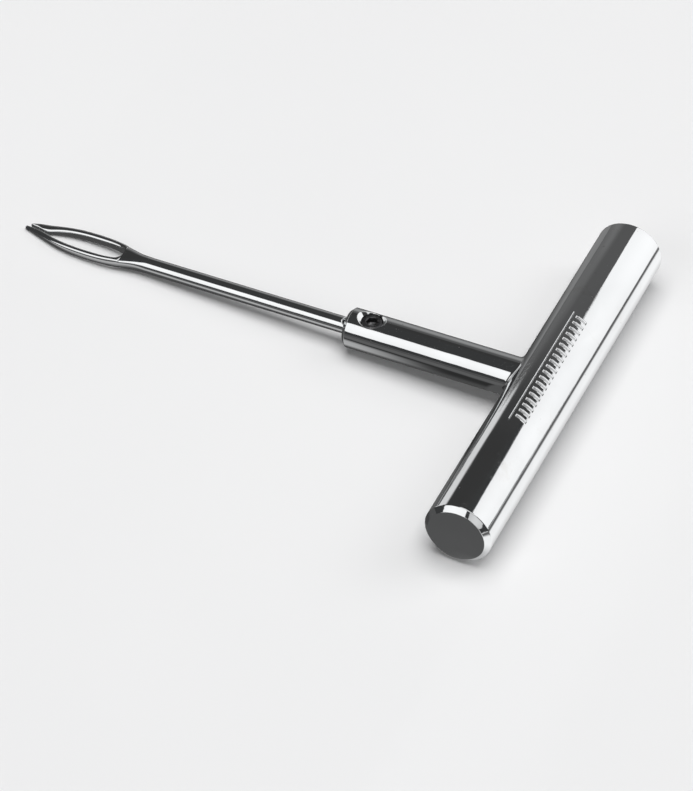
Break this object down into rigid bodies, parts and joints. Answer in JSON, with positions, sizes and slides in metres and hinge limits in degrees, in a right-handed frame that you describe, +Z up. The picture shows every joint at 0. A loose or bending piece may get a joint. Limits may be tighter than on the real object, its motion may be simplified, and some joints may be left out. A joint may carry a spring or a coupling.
{
  "type": "tyre plug insertion tool",
  "caption": "T-handle hand tool that pushes a rubber string plug into a punctured tyre with a split-eye needle, which a set screw holds in a chuck.",
  "frame": {"origin": "under the middle of the tool's box, on the surface that it lies on", "axes": "+X from the needle's tip towards the grip bar, +Y along the grip bar, +Z up, with the clamp screw on top; the needle slopes 3.2 degrees down to its tip, as the tool lies at rest"},
  "size_m": [0.1414, 0.105, 0.016],
  "materials": {
    "chrome_plate": "polished",
    "chrome_needle": "polished",
    "black_oxide": "black oxide, oiled"
  },
  "bodies": {
    "handle": {"grip_bar": "chrome_plate", "chuck_shank": "chrome_plate", "junction_weld": "chrome_plate"},
    "screw": {"clamp_screw": "black_oxide"},
    "needle": {"eye_needle": "chrome_needle"}
  },
  "joints": [
    {"name": "clamp_screw_turn", "type": "hinge", "parent": "handle", "child": "screw", "pos_m": [0.01896, 0, 0.00943], "axis": [-0.0555, 0, 0.9985], "range_deg": [0, 990]},
    {"name": "needle_draw", "type": "slide", "parent": "handle", "child": "needle", "axis": [-0.9985, 0, -0.0555], "range_m": [0, 0.018]}
  ]
}
